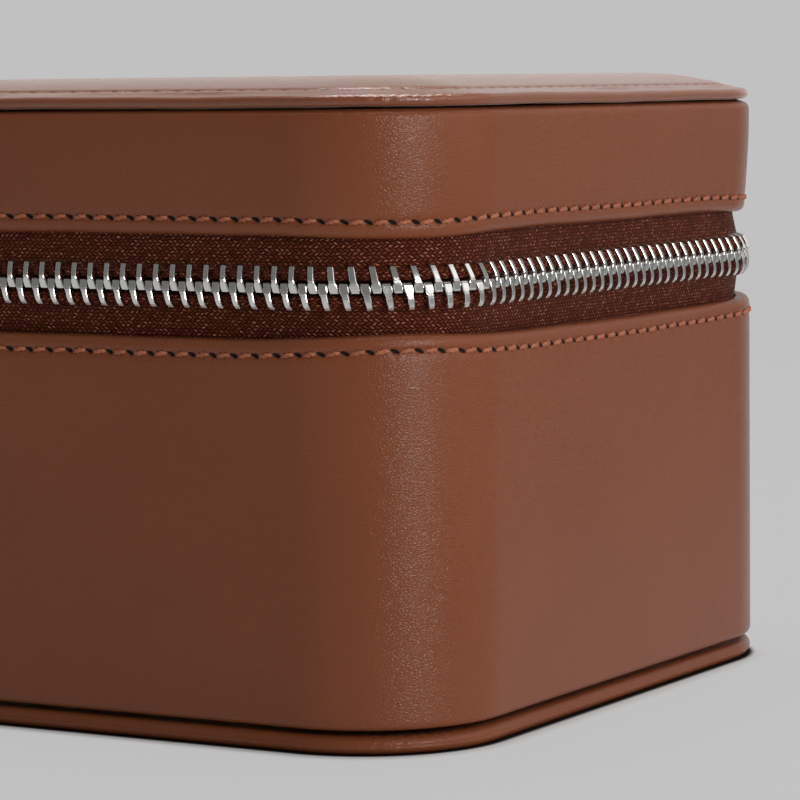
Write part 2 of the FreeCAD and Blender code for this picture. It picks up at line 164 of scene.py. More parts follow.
class Look:
    """A socket of a material's node tree. Arithmetic on it adds Math nodes to the tree."""

    def __init__(self, tree, socket=None):
        self.tree = tree
        self.socket = socket

    def node(self, kind, settings, inputs, output=0):
        """Add a node: its settings first, then a value or a link for each input named or numbered."""
        made = self.tree.nodes.new("ShaderNode" + kind)
        for name, value in settings.items():
            setattr(made, name, value)
        for name, value in inputs.items():
            if isinstance(value, Look):
                self.tree.links.new(value.socket, made.inputs[name])
            else:
                made.inputs[name].default_value = value
        return Look(self.tree, made.outputs[output])

    def math(self, operation, *values):
        """Math node of one operation on its values."""
        return self.node("Math", {"operation": operation}, dict(enumerate(values)))

    def __add__(self, other):
        return self.math("ADD", self, other)

    def __sub__(self, other):
        return self.math("SUBTRACT", self, other)

    def __rsub__(self, other):
        return self.math("SUBTRACT", other, self)

    def __mul__(self, other):
        return self.math("MULTIPLY", self, other)

    def __truediv__(self, other):
        return self.math("DIVIDE", self, other)

    def __mod__(self, other):
        return self.math("FLOORED_MODULO", self, other)

    def __pow__(self, other):
        return self.math("POWER", self, other)

    __radd__ = __add__
    __rmul__ = __mul__

    def fade(self, low, high, start=0.0, end=1.0):
        """Start below low, end above high, and a smooth change between them."""
        return self.node("MapRange", {"interpolation_type": "SMOOTHSTEP"},
                         {"Value": self, "From Min": low, "From Max": high, "To Min": start, "To Max": end})

    def between(self, one, other):
        """Colour mixed from one to the other by this value."""
        return self.node("Mix", {"data_type": "RGBA"}, {0: self, 6: one, 7: other}, output=2)

    def place(self):
        """Where a point is on the piece, in metres."""
        return self.node("TexCoord", {}, {}, "Object")

    def noise(self, size, detail):
        """Cloudy noise over the piece, from 0 to 1, with clouds of about a size in metres."""
        return self.node("TexNoise", {}, {"Vector": self.place(), "Scale": 1 / size, "Detail": detail})

    def axis(self, name):
        """One axis of a vector, X, Y or Z."""
        return self.node("SeparateXYZ", {}, {"Vector": self}, name)


def finish(name):
    """Start of a finish: a new material, and its tree as a Look to build on."""
    material = bpy.data.materials.new(name)
    material.use_nodes = True
    return material, Look(material.node_tree)


def wear(material, colour, roughness, height, relief, **constants):
    """Connect a finish's colour, roughness and relief, which is in metres, and set its shader's constants."""
    shader = material.node_tree.nodes["Principled BSDF"]
    bump = height.node("Bump", {}, {"Strength": 1.0, "Distance": relief, "Height": height})
    for name, value in (("Base Color", colour), ("Roughness", roughness), ("Normal", bump)):
        material.node_tree.links.new(value.socket, shader.inputs[name])
    for name, value in constants.items():
        shader.inputs[name.replace("_", " ")].default_value = value
    return material


leather_brown = (0.222, 0.0640, 0.0240, 1.0)
leather_deep = (0.206, 0.0580, 0.0212, 1.0)
crease_shade_brown = (0.150, 0.0400, 0.0145, 1.0)
needle_hole_shade = (0.006, 0.0025, 0.0015, 1.0)
needle_length = 0.66 * mm
needle_width = 0.27 * mm
needle_slant = 0.32
hide_cloud = 24 * mm
hide_pore = 0.16 * mm
hide_pebble = 0.46 * mm
pebble_squat = (1.0, 1.0, 1.35)
bend_reach = (0.5 * mm,) * 3
bend_length = 1.1 * mm
hide_relief = 0.035 * mm
hide_roughness = 0.19
hide_specular = 0.28
rubbed_pink = (1.0, 0.74, 0.64, 1.0)


def leather_finish(name, stitch_pitch=None, gloss=0.0):
    """Smooth cowhide: two close browns in soft clouds, pebbled by the creases between small Voronoi cells and
    by fine pores, with painted shade darkening the creases. Along a stitched row, where the map's v is 0,
    each needle hole is painted as a dark slanted oval of shade, and sunk in the relief.
    Gloss lowers the roughness and adds a coat and a sheen, as where the hide is drawn tight and rubbed."""
    material, look = finish(name)
    place = look.place()
    cloud = look.noise(hide_cloud, 3.0)
    pores = look.noise(hide_pore, 2.0)
    bent = look.node("TexNoise", {}, {"Vector": place, "Scale": 1 / bend_length, "Detail": 1.0}, "Color")
    bent = look.node("VectorMath", {"operation": "MULTIPLY_ADD"}, {0: bent, 1: bend_reach, 2: place})
    squat = look.node("Mapping", {}, {"Vector": bent, "Scale": pebble_squat})
    cells = look.node("TexVoronoi", {"feature": "DISTANCE_TO_EDGE"},
                      {"Vector": squat, "Scale": 1 / hide_pebble})
    pebbles = cells.fade(0.0, 0.35)
    height = pebbles * 0.7 + pores * 0.3
    colour = cloud.fade(0.25, 0.75).between(leather_deep, leather_brown)
    # Painted shade: the creases between the pebbles are drawn darker.
    colour = pebbles.fade(0.0, 0.5, 0.25, 0.0).between(colour, crease_shade_brown)
    roughness = hide_roughness - gloss + cloud * 0.04 + pores * 0.06
    if stitch_pitch:
        run = look.node("UVMap", {"uv_map": pattern_map}, {})
        along = ((run.axis("X") / stitch_pitch + 0.5) % 1.0 - 0.5) * stitch_pitch
        across = run.axis("Y") + along * needle_slant
        oval = ((along / needle_length) ** 2.0 + (across / needle_width) ** 2.0).fade(0.6, 1.2, 1.0, 0.0)
        # Painted shade: each needle hole is drawn near-black, as the shade inside it.
        colour = oval.between(colour, needle_hole_shade)
        roughness = roughness + oval * 0.5
        height = height - oval * 3.0
    return wear(material, colour, roughness, height, hide_relief, Specular_IOR_Level=hide_specular + gloss,
                Coat_Weight=4.0 * gloss, Coat_Roughness=0.25,
                Sheen_Weight=3.0 * gloss, Sheen_Roughness=0.4, Sheen_Tint=rubbed_pink)


def fitted(piece, material, body, slot, *nodes):
    """Give a piece its material, the body it rides on and any CAD nodes that it stands for. Its slot is not
    used.
    """
    piece.data.materials.append(material)
    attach(piece, body)
    if nodes:
        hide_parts(*nodes)
    return piece


wall_low, wall_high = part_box("base_wall_leather")
wall_corner = 20 * mm
case = Outline(wall_high.x, wall_high.y, wall_corner)

panel_leather = 0.9 * mm
bottom_bead_inset = 0.3 * mm
bottom_bead_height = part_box("bottom_panel_leather")[1].z - 0.5 * mm
bottom_turn_in = 14 * mm
bottom_flat_inset = 6 * mm
bottom_middle_inset = wall_corner - 2 * mm
bottom_step = case.even(count=1200)
bead_ease = bottom_bead_height / 2
board_edge_inset = bottom_bead_inset + bead_ease
bottom_profile = eased([
    (bottom_middle_inset, 0.0, 0),
    (bottom_flat_inset, 0.0, 0),
    (bottom_bead_inset, 0.0, bead_ease),
    (bottom_bead_inset, bottom_bead_height, bead_ease),
    (bottom_turn_in, bottom_bead_height, 0),
    (bottom_turn_in, bottom_bead_height - panel_leather, 0),
    (board_edge_inset, bottom_bead_height - panel_leather, 0),
    (board_edge_inset, panel_leather, 0),
    (bottom_middle_inset, panel_leather, 0),
], steps=8)
bottom_pleat = 1.7 * mm
bottom_pleat_depth = 0.06 * mm
bottom_corner_bulge = 0.30 * mm
bottom_corner_sink = 0.08 * mm
bottom_pucker = 0.07 * mm
bead_side = 3 * mm
bead_edge = 2 * mm
bulge_spread = 12 * mm
pleat_spread = 8 * mm
sink_spread = 13 * mm
pucker_spread = 9 * mm


def uneven_waves(s, length, share, stretch, phase):
    """Sine wave of a length along s, plus a share of a second one, stretched and begun at a phase."""
    return np.sin(2 * math.pi * s / length) + share * np.sin(2 * math.pi * s / (length * stretch) + phase)


def pleated(profile, s, pleat, depth, bulge, low, high):
    """Insets of a bead round the case: it stands out at the corners by a bulge and ripples in pleats there,
    most in the middle of its height, and keeps its place where it is glued down."""
    rise = np.clip((profile[:, 1:] - low) / (high - low), 0, 1)
    loose = np.sin(math.pi * rise) * (profile[:, :1] < bead_side)
    ripple = depth * uneven_waves(s, pleat, share=0.6, stretch=1.7, phase=1.0) * case.bell(s, pleat_spread)
    return profile[:, :1] - loose * (bulge * case.bell(s, bulge_spread) + ripple)


def puckered(profile, s, pleat, pucker, sink, low, high):
    """Heights of a bead: at the corners its upper edge sinks and is gathered into small uneven waves."""
    loose = np.clip((profile[:, 1:] - low) / (high - low), 0, 1) ** 2 * (profile[:, :1] < bead_edge)
    waves = pucker * uneven_waves(s, pleat, share=0.7, stretch=0.61, phase=2.0) * case.bell(s, pucker_spread)
    return profile[:, 1:] - loose * (sink * case.bell(s, sink_spread) + waves)


bottom_insets = pleated(bottom_profile, bottom_step, bottom_pleat, bottom_pleat_depth, bottom_corner_bulge,
                        0.0, bottom_bead_height)
bottom_heights = puckered(bottom_profile, bottom_step, bottom_pleat, bottom_pucker, bottom_corner_sink,
                          0.0, bottom_bead_height)
fitted(
    skin("bottom_leather", case.layer(bottom_step, bottom_insets, bottom_heights), ends="pole"),
    leather_finish("bottom_leather_finish"), "base", "leather", "bottom_panel_leather")


# Boards: grey millboard cut to size and glued up as the floor, the wall frames and the panels' cores.
# The leather and the lining cover them, so they stay as cut, with a fibrous, speckled face.

board_pale = (0.42, 0.36, 0.28, 1.0)
board_grey = (0.30, 0.25, 0.19, 1.0)
board_fleck = (0.12, 0.09, 0.06, 1.0)


def board_finish():
    """Millboard: two close grey-browns in clouds of pulp, with dark flecks that roughen the face."""
    material, look = finish("board_finish")
    pulp = look.noise(6 * mm, 4.0)
    fleck_and_highlight = look.noise(0.7 * mm, 3.0)
    colour = pulp.between(board_grey, board_pale)
    colour = fleck_and_highlight.fade(0.62, 0.70).between(colour, board_fleck)
    return wear(material, colour, 0.8 + fleck_and_highlight * 0.15, fleck_and_highlight, 0.08 * mm)


def dressed(material, *nodes):
    """Give a material to CAD nodes that keep their own meshes."""
    for node in nodes:
        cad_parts[node].data.materials.clear()
        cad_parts[node].data.materials.append(material)


dressed(board_finish(), "bottom_panel_board", "base_wall_board", "base_floor_board", "lid_wall_board",
        "lid_top_board", "top_panel_board")


# Base wall leather: one wrap of the same hide round the base, joined at the back.
# Its rim is turned over as a soft hem and sewn through the zip tape a few millimetres below,
# and its lower edge rolls into the dark groove above the bottom panel.

wall_leather = 2.2 * mm
groove_gap = 0.30 * mm
base_low_z = wall_low.z + groove_gap
base_rim_z = wall_high.z
groove_ease = 1.0 * mm
rim_ease = 1.5 * mm
base_stitch_z = base_rim_z - 2.15 * mm
stitch_count = 169
stitch_columns = 10
stitch_pitch = case.length / stitch_count
wall_step = case.even(stitch_count * stitch_columns)
seam_half_width = 0.42 * mm
seam_depth = 0.20 * mm
needle_depth = 0.35 * mm
base_corner_lift = 0.75 * mm
corner_lift_reach = 15 * mm
base_lift_z = base_low_z + 25 * mm
rim_wander = 0.12 * mm
hem_ease = 0.4 * mm
seam_rows = np.linspace(-0.6, 0.6, 7) * mm
row_gap = 0.4 * mm
seam_gap = 1.4 * mm
outer_face = 1 * mm
dimple_power = 16


def face_rows(low, high, seam_z, count):
    """Corners of a profile up a wall's outer face: a few even rows, and close rows about the seam."""
    even = np.linspace(low, high, count)
    even = even[np.abs(even - seam_z) > seam_rows[-1]]
    return [(0.0, z, 0) for z in np.sort(np.concatenate([even, seam_z + seam_rows]))]


def sewn_in(profile, s, seam_z):
    """Insets of a sewn wall: a shallow channel along the seam, and a dimple at each needle hole in it."""
    channel = np.exp(-((profile[:, 1:] - seam_z) / seam_half_width) ** 2) * (profile[:, :1] < outer_face)
    dimple = np.cos(math.pi * s / stitch_pitch) ** dimple_power
    return profile[:, :1] + channel * (seam_depth + needle_depth * dimple)


def run_lengths(profile):
    """Length along a closed profile to each of its points, and to the first again."""
    sides = np.linalg.norm(np.roll(profile, -1, 0) - profile, axis=1)
    return np.concatenate([[0.0], np.cumsum(sides)])


def run_from_seam(profile, seam_z):
    """Length along a profile measured from its point on the outer face nearest to the seam."""
    runs = run_lengths(profile)
    return runs - runs[np.argmin(np.hypot(profile[:, 0], profile[:, 1] - seam_z))]


def share_above(z, low, high):
    """0 below low, 1 above high, and a smooth change between them."""
    t = np.clip((z - low) / (high - low), 0, 1)
    return t * t * (3 - 2 * t)


def soft_wander(s, size, seed):
    """Slow wander along a hand-worked edge: three sine waves of unlike lengths, together within the size."""
    waves = [(97, 0.5), (41, 0.3), (17, 0.2)]
    return size * sum(share * np.sin(2 * math.pi * s / (length * mm) + seed * length)
                      for length, share in waves)


def base_lift(s, z):
    """How far the base's rim stands higher at the corners, and wanders, fading out down the wall."""
    lift = base_corner_lift * case.bell(s, corner_lift_reach) + soft_wander(s, rim_wander, seed=1.0)
    return lift * share_above(z, base_lift_z, base_rim_z)


base_profile = eased(
    [(wall_leather, wall_low.z, 0), (0.0, base_low_z, groove_ease)]
    + face_rows(base_low_z + groove_ease + row_gap, base_stitch_z - seam_gap, base_stitch_z, count=13)
    + [(0.0, base_rim_z, rim_ease), (wall_leather, base_rim_z, hem_ease), (wall_leather, base_stitch_z, 0)],
    steps=9)
base_insets = sewn_in(base_profile, wall_step, base_stitch_z)
base_heights = base_profile[:, 1:] + base_lift(wall_step, base_profile[:, 1:])
fitted(
    skin("base_leather", case.layer(wall_step, base_insets, base_heights), wrap_rows=True,
         u=np.append(wall_step, case.length), v=run_from_seam(base_profile, base_stitch_z)),
    leather_finish("base_leather_finish", stitch_pitch), "base", "leather", "base_wall_leather")


# Base stitching: one row of orange-brown two-ply thread, lock-stitched through hem and tape.
# Each stitch is a short twisted length that rises from one needle hole and dives into the next,
# a little slanted, with the two plies winding round each other.

thread_radius = 0.34 * mm
thread_steps = 7
thread_sides = 8
thread_turns = 1.6
stitch_gap = 1.0 * mm
stitch_slant = 0.34 * mm
stitch_arch = 1.3
stitch_sink = 0.95
ply_swell = 0.38
stitch_end = 0.60
thread_orange = (0.48, 0.155, 0.070, 1.0)
thread_brown = (0.23, 0.058, 0.022, 1.0)


def thread_finish():
    """Waxed thread: fine fibres and slow changes of tone between brown and orange, slightly shiny."""
    material, look = finish("thread_finish")
    fibre = look.noise(0.12 * mm, 2.0)
    tone = look.noise(2.5 * mm, 1.0)
    colour = (fibre * 0.7 + tone * 0.3).fade(0.3, 0.7).between(thread_brown, thread_orange)
    return wear(material, colour, 0.36 + fibre * 0.2, fibre, 0.03 * mm)


def sewn_row(name, count, inset, z, facing, follow=None):
    """Row of stitches round the case at an inset and a height, which goes up and down with follow(s, z), if
    given. Facing is the leather's outward direction as (out, up). A stitch is a tube whose section has two
    lobes that wind along it. It arches over its length as the root of half a sine wave, and thins towards its
    ends in the same way."""
    pitch = case.length / count
    t = np.linspace(0, 1, thread_steps)[None, :, None]
    around = np.linspace(0, 2 * math.pi, thread_sides, endpoint=False)
    number = np.arange(count)[:, None, None]
    s = (number + 0.5) * pitch + (t - 0.5) * (pitch - stitch_gap)
    arch = thread_radius * (stitch_arch * np.sin(math.pi * t) ** 0.5 - stitch_sink)
    lobes = thread_radius * (1 + ply_swell * np.cos(2 * (around + 2 * math.pi * thread_turns * t)))
    taper = stitch_end + (1 - stitch_end) * np.sin(math.pi * t) ** 0.5
    rise = arch + lobes * taper * np.cos(around)
    aside = lobes * taper * np.sin(around) + (0.5 - t) * stitch_slant
    out = rise * facing[0] + aside * facing[1]
    up = rise * facing[1] - aside * facing[0]
    seam_z = z + follow(s, z) if follow else z
    return skin(name, case.layer(s, inset - out, seam_z + up), ends="flat")


outwards = (1.0, 0.0)
thread_look = thread_finish()
fitted(sewn_row("base_stitches", stitch_count, seam_depth, base_stitch_z, outwards, base_lift),
       thread_look, "base", "thread")


# Base lining: soft beige suede on the inside of the walls, carried over the frame's top edge and
# glued down behind the zip tape. A thin padded cushion of the same suede covers the floor.

lining_low, lining_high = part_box("base_lining_walls")
lining_thickness = 0.8 * mm
lining_cap = 0.7 * mm
lining_inset = 5.05 * mm
cap_inset = wall_high.x - lining_high.x
cavity_inset = lining_inset + lining_thickness
suede_sand = (0.50, 0.40, 0.29, 1.0)
suede_shadow = (0.40, 0.31, 0.22, 1.0)
cap_ease = 0.3 * mm
cavity_ease = 1.2 * mm
base_cap_z = lining_high.z - lining_cap
base_lining_row_z = lining_low.z + 20 * mm


def suede_finish(name, light, dark):
    """Suede: a short nap brushed this way and that in soft patches, with fine fibres, matt and sheeny."""
    material, look = finish(name)
    brushed = look.noise(14 * mm, 3.0)
    nap = look.noise(0.35 * mm, 3.0)
    colour = (brushed * 0.6 + nap * 0.4).fade(0.35, 0.65).between(dark, light)
    return wear(material, colour, 0.85 + nap * 0.12, nap, 0.10 * mm, Sheen_Weight=0.35, Sheen_Roughness=0.5)


suede_look = suede_finish("suede_finish", suede_sand, suede_shadow)
lining_step = case.even(count=640)


def lining_walls(name, corners):
    """Lining of the walls: a closed profile through corners, carried round the case."""
    profile = eased(corners)
    return skin(name, case.layer(lining_step, profile[:, :1], profile[:, 1:]), wrap_rows=True)


base_lining = lining_walls("base_lining", [
    (lining_inset, lining_low.z, 0), (lining_inset, base_cap_z, 0), (cap_inset, base_cap_z, 0),
    (cap_inset, lining_high.z, cap_ease), (cavity_inset, lining_high.z, cavity_ease),
    (cavity_inset, base_lining_row_z, 0), (cavity_inset, lining_low.z, 0)])
fitted(base_lining, suede_look, "base", "suede_lining", "base_lining_walls")

pad_low, pad_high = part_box("base_floor_pad")
pad_inset = wall_high.x - pad_high.x
pad_middle = wall_corner - 1.5 * mm
pad_edge_z = pad_high.z - 0.5 * mm
pad_face_z = pad_high.z - 0.1 * mm
pad_edge = 1.0 * mm
pad_face_rows = 14
pad_side_rows = 5
seat_shrink = np.array([[0.5], [1.0]])
middle_shrink = np.array([[0.85], [0.6], [0.3], [0.08]])
dimple_x = 9 * mm
dimple_y = 11 * mm


def pad_surface(name, inset, seat_z, edge_z, face_z, dimple):
    """Padded panel with the case's outline: flat on its seat, a rounded side from seat to edge height, and a
    face that swells from the edge to its middle as a parabola, with shallow dimples as of hand stuffing."""
    swell = np.linspace(0, 1, pad_face_rows)[1:, None]
    side = np.linspace(0, math.pi / 2, pad_side_rows)[:, None]
    middle = np.ones_like(middle_shrink)
    edge = pad_edge * math.copysign(1, face_z - seat_z)
    insets = [np.array([[pad_middle], [inset + pad_edge]]), inset + pad_edge * (1 - np.cos(side)),
              inset + pad_edge + (pad_middle - inset - pad_edge) * swell, pad_middle * middle]
    heights = [np.full_like(seat_shrink, seat_z), edge_z - edge * (1 - np.sin(side)),
               edge_z + (face_z - edge_z) * (1 - (1 - swell) ** 2), face_z * middle]
    shrinks = [seat_shrink, np.ones_like(side), np.ones_like(swell), middle_shrink]
    points = case.layer(lining_step, np.concatenate(insets), np.concatenate(heights), np.concatenate(shrinks))
    ripple = np.sin(points[..., 0] / dimple_x) * np.sin(points[..., 1] / dimple_y + 0.7)
    lift = np.concatenate([np.zeros_like(seat_shrink), np.zeros_like(side), swell, middle])
    points[..., 2] += dimple * ripple * lift
    if face_z < seat_z:
        points = points[::-1]
    return skin(name, points, ends="pole")


floor_pad = fitted(
    pad_surface("floor_pad", pad_inset, pad_low.z, pad_edge_z, pad_face_z, dimple=0.08 * mm),
    suede_look, "base", "suede_lining", "base_floor_pad")


# Dividers and ring riser: boards wrapped in the same suede, glued to the floor to make the compartments.
# The wrapped edges are soft and rounded, and the riser is a box under the ring rolls.

divider_corner = 1.2 * mm
divider_ease = 1.4 * mm
divider_middle = divider_corner - 0.1 * mm


def wrapped_board(name, node):
    """Suede-wrapped board over a CAD node's box: a rounded rectangle carried up, its top edge eased over."""
    low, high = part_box(node)
    middle = (low + high) / 2
    half = (high - low) / 2
    plan = Outline(half.x, half.y, divider_corner, middle=(middle.x, middle.y))
    rows = np.linspace(low.z, high.z - divider_ease, 6)[1:-1]
    profile = eased([(divider_middle, low.z, 0), (0.0, low.z, 0)] + [(0.0, z, 0) for z in rows]
                    + [(0.0, high.z, divider_ease), (divider_middle, high.z, 0)])
    fitted(skin(name, plan.layer(plan.even(count=420), profile[:, :1], profile[:, 1:]), ends="pole"),
           suede_look, "base", "suede_lining", node)


wrapped_board("cross_partition", "cross_divider")
wrapped_board("long_partition", "long_divider")
dressed(suede_look, "ring_riser")


# Ring rolls: six foam rolls in a paler suede, laid side by side on the riser.
# Each is crowned along its top and drawn in at its ends, and rings push down between two rolls.

ring_sand = (0.58, 0.48, 0.36, 1.0)
ring_shadow = (0.47, 0.38, 0.27, 1.0)
ring_look = suede_finish("ring_suede_finish", ring_sand, ring_shadow)
roll_numbers = range(1, 7)
roll_steps = 40
roll_sides = 36
roll_end = 3.5 * mm
roll_end_share = 0.45
roll_across_power = 0.55
roll_upright_power = 0.75
roll_slack = 0.12 * mm
roll_slack_length = 3.1 * mm
roll_slack_shift = 900
roll_reach = max(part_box(f"ring_roll_{number}")[1].x for number in roll_numbers)


def roll_surface(name, low, high):
    """Foam roll from the divider to the wall: a squared oval section is carried along x, drawn in as a
    quarter circle at both ends, and follows the wall's round corner where it meets it. Slack in its cover
    makes a slow sine wave along its top."""
    around = np.linspace(0, 2 * math.pi, roll_sides, endpoint=False)
    across = np.sign(np.cos(around)) * np.abs(np.cos(around)) ** roll_across_power
    upright = np.sign(np.sin(around)) * np.abs(np.sin(around)) ** roll_upright_power
    t = np.linspace(0, 1, roll_steps)[:, None]
    middle = (low + high) / 2
    half = (high - low) / 2
    y = middle.y + half.y * across
    corner = case.radius - (wall_high.x - roll_reach)
    beyond = np.clip(np.abs(y) - case.inner_y[0], 0, corner)
    x_end = np.minimum(roll_reach, case.inner_x[5] + np.sqrt(corner**2 - beyond**2))
    x = low.x + (x_end - low.x) * t
    end_gap = np.minimum(x - low.x, x_end - x)
    full = np.sqrt(1 - (1 - np.clip(end_gap / roll_end, 0, 1)) ** 2)
    full = roll_end_share + (1 - roll_end_share) * full
    y = middle.y + (y - middle.y) * full
    z = middle.z + half.z * upright * np.where(upright > 0, full, 1.0)
    slack = roll_slack * np.sin(x / roll_slack_length + middle.y * roll_slack_shift) * np.clip(upright, 0, 1)
    return skin(name, np.stack(np.broadcast_arrays(x, y, z + slack), -1), ends="pole")


for number in roll_numbers:
    roll = fitted(roll_surface(f"ring_cushion_{number}", *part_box(f"ring_roll_{number}")),
                  ring_look, "base", "ring_suede", f"ring_roll_{number}")


# Lower zip tape: red-brown woven tape, sewn behind the base's hem. It stands up to the chain, where its edge
# is thickened by a cord that the metal teeth grip. The twill shows as rows of yarn ends with painted
# highlights.

lid_low, lid_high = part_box("lid_wall_leather")
lid_rim_z = lid_low.z
chain_z = (base_rim_z + lid_rim_z) / 2
chain_inset = 1.6 * mm
chain = Outline(wall_high.x, wall_high.y, wall_corner, measured_at=chain_inset)
tooth_pitch = 2.65 * mm
# Stop 1 ends the back's left half, stop 2 starts the left side, and stop 8 starts the back's right half.
first_tooth = chain.stops[2] + case.inner_y[0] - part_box("lower_zip_teeth_left")[1].y
tape_step = np.arange(chain.stops[1], chain.stops[8], tooth_pitch / 8)
tooth_count = 131
last_tooth = first_tooth + tooth_pitch * tooth_count
bare_close = 0.85 * mm
bare_fade = (1.0 * mm, 3.0 * mm)
weave_row = 0.47 * mm
weave_yarn = 0.80 * mm
cord_swell = 0.42 * mm
cord_side = 1.35 * mm
cord_front = 0.95 * mm
cord_near = 1.25 * mm
cord_far = 2.3 * mm
cord_ease = 0.5 * mm
cord_back = 1.5 * mm
cord_fade = 0.5 * mm
cord_end = 1.3 * mm
swell_shift = {-1.0: 0.2, 1.0: 0.7}
tape_recess = {-1.0: chain_inset + 0.75 * mm, 1.0: chain_inset + 1.0 * mm}
tape_web = 0.5 * mm
web_inset = 1.9 * mm
web_edge = 0.95 * mm
web_foot = 2.95 * mm
behind_hem = wall_leather + 0.1 * mm
hem_turn = 2 * mm
rim_gap = 0.5 * mm
edge_ease = 0.2 * mm
web_ease = 0.3 * mm
mouth_ease = 0.6 * mm
turn_ease = 0.5 * mm
tape_gap_shade = (0.042, 0.0085, 0.0040, 1.0)
tape_brown = (0.175, 0.0400, 0.0190, 1.0)
tape_highlight_pink = (0.48, 0.220, 0.150, 1.0)


def tape_finish():
    """Herringbone tape: rows of yarns across it, each row half a yarn on and slanted against the last. Every
    yarn is a small pillow, red-brown on top and painted dark at its edges as the shade between yarns, its
    tone differing from yarn to yarn, and here and there its top has a painted pale highlight."""
    material, look = finish("zip_tape_finish")
    run = look.node("UVMap", {"uv_map": pattern_map}, {})
    loose = (look.noise(1.1 * mm, 2.0) - 0.5) * 0.9
    across = run.axis("X") / weave_row + loose
    row = across.math("FLOOR", across)
    beside = (across - row) * 2.0 - 1.0
    slant = (row % 2.0 - 0.5) * 0.6
    along = run.axis("Y") / weave_yarn + row * 0.5 + beside * slant + loose
    yarn = along.math("FLOOR", along)
    lengthways = (along - yarn) * 2.0 - 1.0
    pillow = (1.0 - beside * beside * 0.6) * (1.0 - lengthways * lengthways)
    pick = look.node("CombineXYZ", {}, {"X": row, "Y": yarn})
    chance = look.node("TexWhiteNoise", {"noise_dimensions": "2D"}, {"Vector": pick})
    # Painted shade: each yarn is drawn dark at its edges, between the yarns.
    colour = (pillow * (0.45 + chance * 0.6)).fade(0.05, 0.80).between(tape_gap_shade, tape_brown)
    # Painted highlight: here and there a yarn's top is drawn pale pink.
    fleck_and_highlight = pillow.fade(0.80, 1.0) * chance.fade(0.50, 1.0)
    colour = fleck_and_highlight.between(colour, tape_highlight_pink)
    height = pillow * (0.55 + chance * 0.45)
    return wear(material, colour, 0.5 - fleck_and_highlight * 0.15, height, 0.34 * mm, Specular_IOR_Level=0.06)


def tape_surface(name, rim_z, seam_z, side):
    """Tape carried along the chain: from its cord edge at the teeth, out over the cord, back to the flat web
    and on behind the hem. Side is -1 below the chain and +1 above it. The cord swells a little between the
    teeth, and past the last tooth the two tapes close up edge to edge."""
    edge_z = chain_z + side * web_edge
    cord = [
        (cord_side, edge_z, edge_ease),
        (cord_front, chain_z + side * cord_near, web_ease),
        (cord_front, chain_z + side * cord_far, cord_ease),
    ]
    web = [
        (web_inset, chain_z + side * web_foot, web_ease),
        (tape_recess[side], rim_z - side * rim_gap, mouth_ease),
        (behind_hem, rim_z + side * hem_turn, turn_ease),
        (behind_hem, seam_z, 0),
    ]
    back = [(inset + tape_web, z, ease) for inset, z, ease in web[::-1]]
    profile = eased(cord + web + back + [(web_inset + tape_web, edge_z, edge_ease)])
    if side > 0:
        profile = profile[::-1]
    on_cord = np.clip((cord_back - profile[:, 0]) / cord_fade, 0, 1)
    on_edge = np.abs(profile[:, 1] - chain_z) < cord_end
    beyond = np.abs(tape_step - (first_tooth + last_tooth) / 2) - (last_tooth - first_tooth) / 2
    bare = share_above(beyond, *bare_fade)[:, None]
    turn = 2 * math.pi * ((tape_step[:, None] - first_tooth) / tooth_pitch - swell_shift[side])
    insets = profile[:, 0] + on_cord * cord_swell * np.cos(turn) * (1 - bare)
    heights = profile[:, 1] - side * bare_close * on_edge * bare
    runs = run_lengths(profile)
    tape = skin(name, chain.layer(tape_step[:, None], insets, heights), ends="flat", u=runs, v=tape_step)
    return tape


tape_look = tape_finish()
fitted(tape_surface("lower_tape", base_rim_z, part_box("lower_zip_tape")[0].z, -1.0),
       tape_look, "base", "zip_tape", "lower_zip_tape")


# Lower zip teeth and stops: nickel-plated clips, pressed over the tape's cord one pitch apart.
# A tooth is a bent bar that swells out over the cord from its root and ends in a wider head
# that locks between two heads of the other row. The stops are plain clips at the ends.

tooth_length = tooth_pitch / 2 - 0.275 * mm
leg_width = 0.80 * mm
head_width = 1.18 * mm
tooth_root = 2.85 * mm
tooth_tip = 0.75 * mm
tooth_front = 0.06 * mm
tooth_crest = -1.0 * mm
root_insets = {-1.0: 0.70 * mm, 1.0: 0.85 * mm}
root_bends = {-1.0: 3.0, 1.0: 1.25}
head_inset = 0.30 * mm
tooth_lean = 0.18
tooth_rise = np.concatenate([[0.75, 0.62], np.linspace(0.35, -tooth_root / mm, 10)]) * mm
tip_round = np.array([0.45, 0.10]) * mm
tooth_slot = np.array([[2.0, -3.3], [2.0, -1.1], [2.45, -1.1], [2.45, -2.7], [2.75, -2.7]]) * mm
tooth_back = np.array([[3.0, -1.6], [3.1, -0.4], [3.05, 0.4], [2.6, 0.75]]) * mm
tooth_middle = np.array([1.5, -1.2]) * mm
tooth_steps = np.array([-0.5, -0.40, 0.40, 0.5])[:, None]
chamfer = np.array([0.94, 1.0, 1.0, 0.94])[:, None, None]
head_fade = (-0.75 * mm, -0.45 * mm)
nickel_grey = (0.74, 0.73, 0.71, 1.0)
nickel_bright = (0.84, 0.83, 0.81, 1.0)


def metal_finish(name, roughness):
    """Polished nickel: bright, faintly warm, clouded by handling, with a very fine unevenness."""
    material, look = finish(name)
    haze = look.noise(1.6 * mm, 3.0)
    hair = look.noise(0.09 * mm, 1.0)
    colour = haze.between(nickel_grey, nickel_bright)
    return wear(material, colour, roughness + haze * 0.14, hair, 0.004 * mm, Metallic=1.0)


